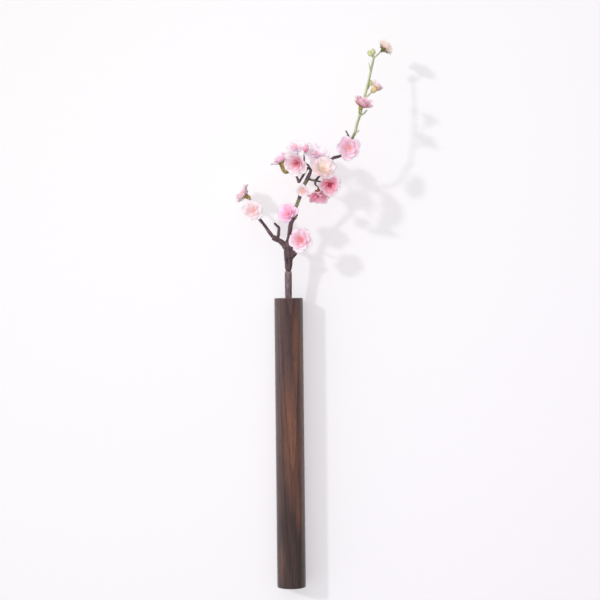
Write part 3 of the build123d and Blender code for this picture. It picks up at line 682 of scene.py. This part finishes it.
def bark_piece(name, node, routes, finish, material, depth, rim_highlight=0.0):
    """A twig: fused tubes with a skin that is furrowed along, swells at its knots and shows its cut ends, with a
    painted highlight as a pale band round its ends where a rim share is given.
    """
    skin = fused_skin(name, routes, finish.skin_grain)
    points, along, ways = centre_line(name, routes)
    tree = KDTree(len(points))
    for index, point in enumerate(points):
        tree.insert(point, index)
    tree.balance()
    long_routes = [route for route in routes if (route[0][0] - route[-1][0]).length > CUT_RUN]
    ends = [route[end][0] for route in long_routes for end in (0, -1)]
    bm = bmesh.new()
    bm.from_mesh(skin)
    bpy.data.meshes.remove(skin)
    bmesh.ops.smooth_vert(bm, verts=bm.verts, factor=0.5, use_axis_x=True, use_axis_y=True, use_axis_z=True)
    around_layer = bm.verts.layers.float_vector.new("bark_around")
    along_layer = bm.verts.layers.float.new("bark_along")
    cut_and_highlight_layer = bm.verts.layers.float.new("bark_cut_and_highlight")
    young_layer = bm.verts.layers.float.new("bark_young")
    young_spots = [(spray_point(spot), spot[3] * MM, spot[4]) for spot in YOUNG_BARK]
    bm.normal_update()
    moves = []
    for vert in bm.verts:
        point, index, _ = tree.find(vert.co)
        offset = vert.co - point
        ahead = offset.dot(ways[index])
        around = (offset - ways[index] * ahead) / MM
        run = (along[index] + ahead) / MM
        vert[around_layer] = around
        vert[along_layer] = run
        nearest = min((vert.co - end).length for end in ends)
        facing_end = abs(vert.normal.dot(ways[index]))
        cut = 0.8 * max(0.0, facing_end - 0.7) / 0.3 if nearest < CUT_REACH else 0.0
        # Near the ends a pale patchy band takes the cut colour, to the rim share given: a painted highlight, used
        # round the lower stem's top rim
        patch = 0.7 + 1.2 * noise.noise(around * 0.5 + Vector((0, 0, run * 0.3)))
        vert[cut_and_highlight_layer] = max(cut, rim_highlight * max(0.0, patch) * max(0.0, min(1.0, 5.0 - nearest / MM)))
        shares = [most * min(1.0, 2.5 - 2.5 * (vert.co - spot).length / size)
                  for spot, size, most in young_spots]
        vert[young_layer] = max(0.0, *shares)
        unit = around.normalized()
        ridge = noise.noise(unit * 2.6 + Vector((0.11, 0.07, 0.05)) * run)
        knot = noise.noise(Vector((run * 0.16, 3.1, 0.0)))
        wrinkle = noise.noise(around * 0.9 + Vector((0, 0, run * 0.7)))
        calm = min(1.0, 0.15 + 0.2 * max(0.0, nearest / MM - 2.0))
        moves.append((vert, vert.normal * depth * calm * (0.5 * ridge + 0.7 * knot + 0.35 * wrinkle)))
    for vert, move in moves:
        vert.co += move
    finish_piece(bm, name, material, node)


def kneed(run):
    """The route of a twig with a station on either side of each knee, so that the knees stay sharp."""
    stations = [run[0]]
    for before, knee, after in zip(run, run[1:], run[2:]):
        for other, share in ((before, 0.2), (knee, 0.0), (after, 0.2)):
            stations.append([k + (o - k) * share for k, o in zip(knee, other)])
    stations.append(run[-1])
    return [(spray_point(station), station[3] * MM / 2) for station in stations]


def stalk_route(bloom, mouth, finish):
    """The route of a stalk from its foot into the socket that far behind the seat of a blossom or bud."""
    way = spray_way(bloom.facing)
    radius = finish.stalk_diameter / 2
    start = spray_point(bloom.foot)
    end = spray_point(bloom.seat) - way * (mouth - 1.0) * MM
    before = end - way * 3.2 * MM
    middle = start.lerp(before, 0.5) + (start - before).length * 0.08 * Vector((0, 0, -1))
    return [(start, radius * 1.3), (middle, radius), (before, radius), (end, radius * 1.05)]


def twig_routes(twig, finish):
    """All the routes of a twig: its own runs and the stalks that grow on it."""
    routes = [kneed(run) for run in TWIGS[twig]]
    routes += [stalk_route(blossom, CALYX_DEPTH, finish) for blossom in BLOSSOMS if blossom.twig == twig]
    routes += [stalk_route(bud, 0.0, finish) for bud in BUDS.get(twig, ())]
    return routes


def shape_petal(bm, layer, matrix, full, reach, rise, ruffle, draw):
    """One petal: a grid rounded to a lobe on a narrow claw, cupped along and across, with a waved edge."""
    lobe = 0.43 * reach * draw.uniform(0.96, 1.06)
    middle = reach - lobe
    claw = 0.7 * MM
    waves = draw.choice((3, 4, 5))
    phase = draw.uniform(0, tau)
    cup = draw.uniform(0.06, 0.16) * reach
    curl = draw.uniform(0.02, 0.2) * reach
    lean = draw.uniform(-0.22, 0.22)
    frill = draw.uniform(0, tau)
    chance = draw.random()
    grid = bmesh.ops.create_grid(bm, x_segments=6, y_segments=6, size=1.0)
    for vert in grid["verts"]:
        x = vert.co.x * sqrt(1 - vert.co.y ** 2 / 2)
        y = vert.co.y * sqrt(1 - vert.co.x ** 2 / 2)
        rim = x * x + y * y
        angle = atan2(x, y + 0.35)
        notch = 0.07 * lobe * exp(-(angle / 0.22) ** 2) * rim ** 3
        radial = middle + y * (lobe if y > 0 else middle - claw) - notch
        half = lobe * (1.05 if y > 0 else 1.05 - 0.66 * y * y)
        bend = max(0.0, (radial - claw) / (reach - claw))
        height = rise * bend ** 1.7 + cup * x * x * bend
        wave = sin(waves * angle + phase) + 0.5 * sin(2.3 * waves * angle + frill)
        height += ruffle * reach * rim ** 2 * bend * wave
        height -= curl * max(0.0, y - 0.35) ** 2 * 2
        height += lean * x * half * bend
        vert[layer] = (0.4 * bend + 0.6 * radial / full, x, chance)
        vert.co = matrix @ Vector((radial, x * half, height))


def petals_piece(blossom, finish, material):
    """All the petals of one blossom, layer on layer."""
    draw = Random(PETAL_SEED + blossom.number)
    place = facing_place(blossom, blossom.spin)
    half = blossom.diameter / 2
    bm = bmesh.new()
    layer = bm.verts.layers.float_vector.new("petal_place")
    for level, (share, rise_share, count, turn) in enumerate(FORMS[LOOKS[blossom.look][0]]):
        reach = half * share * MM
        for step in range(count):
            angle = radians(turn + draw.uniform(-9, 9)) + tau * step / count
            lift = (0.25 + 0.4 * level + 0.12 * (step % 2)) * MM
            matrix = place @ Matrix.Translation((0, 0, lift)) @ Matrix.Rotation(angle, 4, "Z")
            rise = rise_share * reach * draw.uniform(0.75, 1.3)
            size = reach * draw.uniform(0.88, 1.06)
            shape_petal(bm, layer, matrix, half * MM, size, rise, finish.petal_ruffle, draw)
    bm.normal_update()
    number = f"{blossom.number:02d}"
    soften(finish_piece(bm, f"petals_{number}", material, f"blossom_{number}_petals"), finish.petal_thickness)


def calyx_piece(blossom, material):
    """A cup turned on its axis with five pointed sepals under the petals."""
    draw = Random(CALYX_SEED + blossom.number)
    place = facing_place(blossom, blossom.spin + 36)
    scale, tall, belly, spread, cling = CALYCES.get(blossom.number, PLAIN_CALYX)
    size = MM * scale
    petal_reach = blossom.diameter / 2 * MM
    petal_rise = FORMS[LOOKS[blossom.look][0]][0][1] * petal_reach
    bm = bmesh.new()
    cup = [(0.75, -CALYX_DEPTH), (1.35 * belly, -4.0), (1.75 * belly, -3.0), (1.7 * belly, -1.9),
           (2.0 * sqrt(belly), -0.8), (2.5, -0.1), (2.2, 0.12), (0.6, 0.1)]
    turn_profile(bm, [(radius * size, height * size * tall) for radius, height in cup], 15)
    for step in range(5):
        turn = Matrix.Rotation(tau * step / 5 + draw.uniform(-0.15, 0.15), 4, "Z")
        reach = draw.uniform(4.6, 5.6) * size * spread
        drop = draw.uniform(0.3, 0.8) * MM
        grid = bmesh.ops.create_grid(bm, x_segments=4, y_segments=5, size=1.0)
        for vert in grid["verts"]:
            share = (vert.co.y + 1) / 2
            half = 1.5 * size * sqrt(spread) * (0.85 + 0.6 * share) * (1 - share) ** 0.75
            x = vert.co.x * half
            radial = 1.5 * size + share * (reach - 1.5 * size)
            under = cling * petal_rise * min(1.0, radial / petal_reach) ** 1.7
            height = under - drop * (0.5 + share) - 0.25 * MM + 0.3 * size * abs(vert.co.x) * (1 - share)
            vert.co = turn @ Vector((radial, x, height))
        made = {face for vert in grid["verts"] for face in vert.link_faces}
        bmesh.ops.solidify(bm, geom=list(made), thickness=0.3 * MM)
    bmesh.ops.remove_doubles(bm, verts=bm.verts, dist=0.01 * MM)
    bmesh.ops.recalc_face_normals(bm, faces=bm.faces)
    bmesh.ops.transform(bm, matrix=place, verts=bm.verts)
    number = f"{blossom.number:02d}"
    soften(finish_piece(bm, f"calyx_{number}", material, f"blossom_{number}_calyx"))


def stamens_piece(node, blossoms, finish, material):
    """The stamens of several blossoms: thin filaments that splay from the heart, each with a tip."""
    bm = bmesh.new()
    share_layer = bm.verts.layers.float.new("stamen_share")
    pale_layer = bm.verts.layers.float.new("stamen_pale")
    made = set()
    for blossom in blossoms:
        draw = Random(STAMEN_SEED + blossom.number)
        place = facing_place(blossom, blossom.spin) @ Matrix.Translation((0, 0, 1.3 * MM))
        bmesh.ops.create_uvsphere(bm, u_segments=10, v_segments=6, radius=HEART,
                                  matrix=place @ Matrix.Diagonal((1, 1, 0.7, 1)))
        for step in range(finish.stamen_count):
            length = finish.stamen_length * draw.uniform(0.8, 1.15)
            splay = radians(draw.uniform(8, 34))
            turn = Matrix.Rotation(tau * step / finish.stamen_count, 4, "Z") @ Matrix.Rotation(splay, 4, "Y")
            lean = place @ turn
            rod = bmesh.ops.create_cone(bm, segments=5, radius1=ROD_FOOT, radius2=ROD_TOP, depth=length,
                                        matrix=lean @ Matrix.Translation((0, 0, ROD_START + length / 2)))
            for vert in rod["verts"]:
                vert[share_layer] = 0.2 if (lean.inverted() @ vert.co).z < length / 2 else 0.8
            tip = bmesh.ops.create_icosphere(bm, subdivisions=1, radius=TIP,
                                             matrix=lean @ Matrix.Translation((0, 0, ROD_START + length)))
            for vert in tip["verts"]:
                vert[share_layer] = 1.0
        fresh = set(bm.verts) - made
        for vert in fresh:
            vert[pale_layer] = STAMEN_TONE.get(blossom.look, 0.0)
        made |= fresh
    finish_piece(bm, f"stamens_{node.replace('_stamens', '')}", material, node)


def bud_shape(bm, layer, bud, wraps, draw):
    """A closed bud: an egg turned on its axis, wrapped in overlapping scales."""
    radius = bud.diameter / 2 * MM
    tall = bud.length * MM
    egg = [(0.5, 0.0), (0.85, 0.14), (0.96, 0.38), (0.8, 0.64), (0.45, 0.86), (0.06, 0.97)]
    turn_profile(bm, [(radius * across, tall * up) for across, up in egg], 12)
    verts = {vert for vert in bm.verts if not vert[layer].length}
    for vert in verts:
        vert[layer] = (vert.co.z / tall * 0.7 + 0.02, 0, 0.5)
    for step in range(wraps):
        turn = Matrix.Rotation(tau * step / wraps + draw.uniform(-0.2, 0.2), 4, "Z")
        grid = bmesh.ops.create_grid(bm, x_segments=4, y_segments=5, size=1.0)
        for vert in grid["verts"]:
            share = (vert.co.y + 1) / 2
            wide = 1.05 * sqrt(max(0.0, 1 - share ** 2.2))
            angle = vert.co.x * wide
            swell = radius * (0.6 + 0.55 * sin(pi * min(1.0, 0.25 + share * 0.7)))
            height = tall * (0.02 + share * draw.uniform(0.86, 0.9))
            vert[layer] = (0.15 + 0.8 * share, vert.co.x, draw.random())
            vert.co = turn @ Vector((swell * cos(angle), swell * sin(angle), height))
            verts.add(vert)
    bmesh.ops.transform(bm, matrix=facing_place(bud), verts=list(verts))


def buds_piece(node, name, buds, wraps, finish, material):
    """The buds of one node."""
    bm = bmesh.new()
    layer = bm.verts.layers.float_vector.new("petal_place")
    for index, bud in enumerate(buds):
        bud_shape(bm, layer, bud, wraps, Random(BUD_SEED + index))
    bmesh.ops.remove_doubles(bm, verts=bm.verts, dist=0.005 * MM)
    bmesh.ops.recalc_face_normals(bm, faces=bm.faces)
    soften(finish_piece(bm, name, material, node), finish.petal_thickness)


class WALLVASE_OT_tube(bpy.types.Operator):
    """Give the turned tube its oiled wood"""

    bl_idname = "wallvase.tube"
    bl_label = "Wooden tube"

    def execute(self, context):
        dress_node("vase_body", wood_material(context.scene.wallvase_wood))
        return {"FINISHED"}


class WALLVASE_OT_fittings(bpy.types.Operator):
    """Give the water tube its glass and the hanger its plated steel"""

    bl_idname = "wallvase.fittings"
    bl_label = "Water tube and hanger"

    def execute(self, context):
        dress_node("water_tube", glass_material())
        dress_node("keyhole_plate", steel_material("zinc_plate", (0.62, 0.62, 0.63), (1, 1, 0.04)))
        dress_node("hanger_screws", steel_material("zinc_screw", (0.56, 0.56, 0.58), (0.2, 1, 1)))
        return {"FINISHED"}


class WALLVASE_OT_lower_stem(bpy.types.Operator):
    """Make the bare stem that stands in the vase"""

    bl_idname = "wallvase.lower_stem"
    bl_label = "Lower stem"

    def execute(self, context):
        finish = context.scene.wallvase_spray
        low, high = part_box("lower_stem")
        radius = (high.x - low.x) / 2
        slope = sqrt(1 - SPRAY_UP.z ** 2)
        length = (high.z - low.z - 2 * radius * slope) / SPRAY_UP.z
        shares = (0.0, 0.3, 0.55, 0.78, 0.85, 0.94, 1.0)
        widths = (0.97, 0.98, 0.96, 0.97, 1.05, 1.06, 1.04)
        route = [(SPRAY_FOOT - SPRAY_UP * length * (1 - share), radius * width * 1.04)
                 for share, width in zip(shares, widths)]
        bark = bark_material("stem_bark", finish.stem_dark, finish.stem_light, finish.cut_and_highlight_tone)
        # The stem's ends get a pale band in the cut colour: a painted highlight at its top rim
        bark_piece("stem_bark", "lower_stem", [route], finish, bark, 0.5 * finish.bark_depth, 0.5)
        return {"FINISHED"}


class WALLVASE_OT_twigs(bpy.types.Operator):
    """Make the moulded twigs and the green shoot"""

    bl_idname = "wallvase.twigs"
    bl_label = "Twigs"

    def execute(self, context):
        finish = context.scene.wallvase_spray
        bark = bark_material("twig_bark", finish.bark_dark, finish.bark_light, finish.cut_and_highlight_tone)
        green = bark_material("shoot_bark", finish.shoot_dark, finish.shoot_light, finish.shoot_light)
        for twig in TWIGS:
            shoot = twig == "green_shoot"
            depth = finish.bark_depth * (0.4 if shoot else 1.0)
            routes = twig_routes(twig, finish)
            bark_piece(f"{twig}_bark", twig, routes, finish, green if shoot else bark, depth)
        return {"FINISHED"}


class WALLVASE_OT_blossoms(bpy.types.Operator):
    """Make the petals and calyces of the open blossoms"""

    bl_idname = "wallvase.blossoms"
    bl_label = "Blossoms"

    def execute(self, context):
        finish = context.scene.wallvase_spray
        for blossom in BLOSSOMS:
            number = f"{blossom.number:02d}"
            heart, middle, edge, dark, light = look_tones(blossom.look)
            glow = GLOW.get(blossom.look, HALF_GLOW)
            petals_piece(blossom, finish, petal_material(f"petal_cloth_{number}", heart, middle, edge, glow))
            calyx_piece(blossom, leaf_material(f"calyx_{number}", dark, light))
        return {"FINISHED"}


class WALLVASE_OT_stamens(bpy.types.Operator):
    """Make the stamens in the blossoms' hearts"""

    bl_idname = "wallvase.stamens"
    bl_label = "Stamens"

    def execute(self, context):
        material = stamen_material()
        groups = {"left_twig_stamens": ("left_twig",), "green_shoot_stamens": ("green_shoot",)}
        groups["crown_stamens"] = tuple(twig for twig in TWIGS if twig not in ("left_twig", "green_shoot"))
        for node, carriers in groups.items():
            carried = [blossom for blossom in BLOSSOMS if blossom.twig in carriers]
            stamens_piece(node, carried, context.scene.wallvase_spray, material)
        return {"FINISHED"}


class WALLVASE_OT_buds(bpy.types.Operator):
    """Make the half-open pink bud and the green buds"""

    bl_idname = "wallvase.buds"
    bl_label = "Buds"

    def execute(self, context):
        finish = context.scene.wallvase_spray
        cloth = petal_material("bud_cloth", *look_tones("deep")[:3], HALF_GLOW)
        buds_piece("pink_bud", "bud_pink", PINK_BUDS, 4, finish, cloth)
        green = leaf_material("bud_green", tuple(0.6 * c for c in finish.bud_tone), finish.bud_tone)
        buds_piece("green_buds", "buds_green", GREEN_BUDS, 3, finish, green)
        return {"FINISHED"}


def stage_material(finish):
    """A matt pale backdrop that shows from its front alone, so that it never hides the vase from a view."""
    material, tree, shader = new_material("pale_plaster", Roughness=0.9, Specular_IOR_Level=0.1)
    place = object_place(tree)
    mottle = calc(tree, "MULTIPLY", speckle(tree, place, 6, 3), 0.1)
    parts = split(tree, place)
    # Darker and bluer towards the lower right, away from the key light, with a faint mottle: painted shade
    # standing for the light's falloff on the wall
    slope = calc(tree, "SUBTRACT", parts["X"], parts["Z"])
    painted_falloff = calc(tree, "ADD", calc(tree, "MULTIPLY_ADD", slope, 0.9, 0.45), mottle, clamp=True)
    feed(tree, shader, ramp(tree, painted_falloff, [(0.0, finish.wall_tone), (1.0, finish.wall_shade)]))
    rays = add_node(tree, "ShaderNodeLightPath").outputs
    apart = calc(tree, "GREATER_THAN", rays["Ray Length"], MIRROR_NEAR)
    mirrored = calc(tree, "MULTIPLY", rays["Is Glossy Ray"], apart)
    direct = calc(tree, "MAXIMUM", rays["Is Camera Ray"], rays["Is Transmission Ray"])
    seen = calc(tree, "MAXIMUM", direct, mirrored)
    behind = add_node(tree, "ShaderNodeNewGeometry").outputs["Backfacing"]
    shown = calc(tree, "MULTIPLY", seen, calc(tree, "SUBTRACT", 1.0, behind))
    clear = add_node(tree, "ShaderNodeBsdfTransparent").outputs["BSDF"]
    chosen = add_node(tree, "ShaderNodeMixShader", {0: shown, 1: clear, 2: shader.outputs["BSDF"]})
    tree.links.new(chosen.outputs["Shader"], tree.nodes["Material Output"].inputs["Surface"])
    return material


def stage_plane(name, material, matrix, half):
    """A square of the backdrop."""
    bm = bmesh.new()
    bmesh.ops.create_grid(bm, x_segments=1, y_segments=1, size=half, matrix=matrix)
    mesh_object(bm, name, material)


def light_world(finish):
    """Pale light from all round, stronger from above and from the left, with a white background."""
    world = bpy.data.worlds.new("pale_room")
    bpy.context.scene.world = world
    world.use_nodes = True
    tree = world.node_tree
    background = tree.nodes["Background"]
    rays = add_node(tree, "ShaderNodeLightPath").outputs
    way = split(tree, add_node(tree, "ShaderNodeTexCoord").outputs["Generated"])
    panel = map_run(tree, way["X"], -0.86, -0.92, 0.0, 0.8)
    front = map_run(tree, way["Y"], -0.2, 0.1, 0.25, 0.9)
    mirrored = calc(tree, "ADD", panel, front)
    lean = calc(tree, "MULTIPLY_ADD", way["Z"], 0.45, calc(tree, "MULTIPLY_ADD", way["X"], -0.7, 1.0))
    fill = calc(tree, "MULTIPLY", lean, finish.fill_strength)
    lit = add_node(tree, "ShaderNodeMix", {
        "Factor": rays["Is Glossy Ray"], "A": fill, "B": mirrored}).outputs["Result"]
    seen = calc(tree, "MAXIMUM", rays["Is Camera Ray"], rays["Is Transmission Ray"])
    strength = add_node(tree, "ShaderNodeMix", {"Factor": seen, "A": lit, "B": 1.0}).outputs["Result"]
    shade = blend_tones(tree, seen, (1.0, 0.96, 0.978), (1.0, 1.0, 1.0))
    tree.links.new(shade, background.inputs["Color"])
    tree.links.new(strength, background.inputs["Strength"])


def add_lamp(name, light, strength):
    """A lamp in the scene; the pale room stands in for its reflection."""
    light.energy = strength
    lamp = add_object(name, light)
    lamp.visible_glossy = False
    return lamp


def far_lamp(name, way, strength, softness):
    """A soft lamp far off that shines along a way."""
    light = bpy.data.lights.new(name, "SUN")
    light.angle = softness
    lamp = add_lamp(name, light, strength)
    lamp.rotation_euler = Vector(way).to_track_quat("-Z", "Y").to_euler()


def near_lamp(name, place, strength):
    """A small lamp at a place."""
    light = bpy.data.lights.new(name, "POINT")
    light.shadow_soft_size = 0.03
    add_lamp(name, light, strength).location = place


def add_camera(eye, roll):
    """A camera that looks straight at the wall, leaning to the right by its roll."""
    camera = bpy.data.cameras.new("camera")
    camera.lens = LENS
    camera.sensor_width = SENSOR
    right = Vector((cos(roll), 0, -sin(roll)))
    up = Vector((sin(roll), 0, cos(roll)))
    back = Vector((0, -1, 0))
    holder = add_object("camera", camera)
    holder.matrix_world = Matrix.Translation(eye) @ Matrix((right, up, back)).transposed().to_4x4()
    return holder


class WALLVASE_OT_stage(bpy.types.Operator):
    """Set up the pale wall and floor, the light and the camera"""

    bl_idname = "wallvase.stage"
    bl_label = "Stage"

    def execute(self, context):
        scene = context.scene
        finish = scene.wallvase_stage
        plaster = stage_material(finish)
        wall = Matrix.Translation((0, WALL_GAP, 0.1)) @ Matrix.Rotation(pi / 2, 4, "X")
        stage_plane("stage_wall", plaster, wall, 2.0)
        stage_plane("stage_floor", plaster, Matrix.Translation((0, -1.5, -0.9)), 3.0)
        light_world(finish)
        far_lamp("key_light", KEY_WAY, finish.key_strength, finish.key_softness)
        far_lamp("rear_light", REAR_WAY, finish.front_strength, REAR_SOFTNESS)
        eye = Vector((EYE_RIGHT, VASE_AXIS.y - finish.camera_distance, VASE_HIGH.z - EYE_DROP))
        near_lamp("front_light", eye, finish.front_strength * 4 * pi * finish.camera_distance ** 2)
        scene.camera = add_camera(eye, finish.camera_roll)
        scene.view_settings.view_transform = "Standard"
        return {"FINISHED"}


OPERATORS = (WALLVASE_OT_tube, WALLVASE_OT_fittings, WALLVASE_OT_lower_stem, WALLVASE_OT_twigs,
             WALLVASE_OT_blossoms, WALLVASE_OT_stamens, WALLVASE_OT_buds, WALLVASE_OT_stage)


class WALLVASE_PT_panel(bpy.types.Panel):
    """Lists the steps that make the vase"""

    bl_idname = "WALLVASE_PT_panel"
    bl_label = "Wall vase"
    bl_space_type = "VIEW_3D"
    bl_region_type = "UI"
    bl_category = "Wall vase"

    def draw(self, context):
        for operator in OPERATORS:
            self.layout.operator(operator.bl_idname)
        scene = context.scene
        for group in (scene.wallvase_wood, scene.wallvase_spray, scene.wallvase_stage):
            box = self.layout.box()
            for name in group.bl_rna.properties.keys():
                if name not in ("name", "rna_type"):
                    box.prop(group, name)


CLASSES = (WoodFinish, SprayFinish, StageFinish, *OPERATORS, WALLVASE_PT_panel)


def register():
    """Register the classes and hang the settings on the scene."""
    for cls in CLASSES:
        bpy.utils.register_class(cls)
    bpy.types.Scene.wallvase_wood = PointerProperty(type=WoodFinish)
    bpy.types.Scene.wallvase_spray = PointerProperty(type=SprayFinish)
    bpy.types.Scene.wallvase_stage = PointerProperty(type=StageFinish)


def unregister():
    """Take the settings and the classes away again."""
    del bpy.types.Scene.wallvase_wood
    del bpy.types.Scene.wallvase_spray
    del bpy.types.Scene.wallvase_stage
    for cls in reversed(CLASSES):
        bpy.utils.unregister_class(cls)


def main():
    """Make every piece in order."""
    register()
    bpy.ops.wallvase.tube()
    bpy.ops.wallvase.fittings()
    bpy.ops.wallvase.lower_stem()
    bpy.ops.wallvase.twigs()
    bpy.ops.wallvase.blossoms()
    bpy.ops.wallvase.stamens()
    bpy.ops.wallvase.buds()
    bpy.ops.wallvase.stage()
    bpy.context.view_layer.update()


if __name__ == "__main__":
    main()
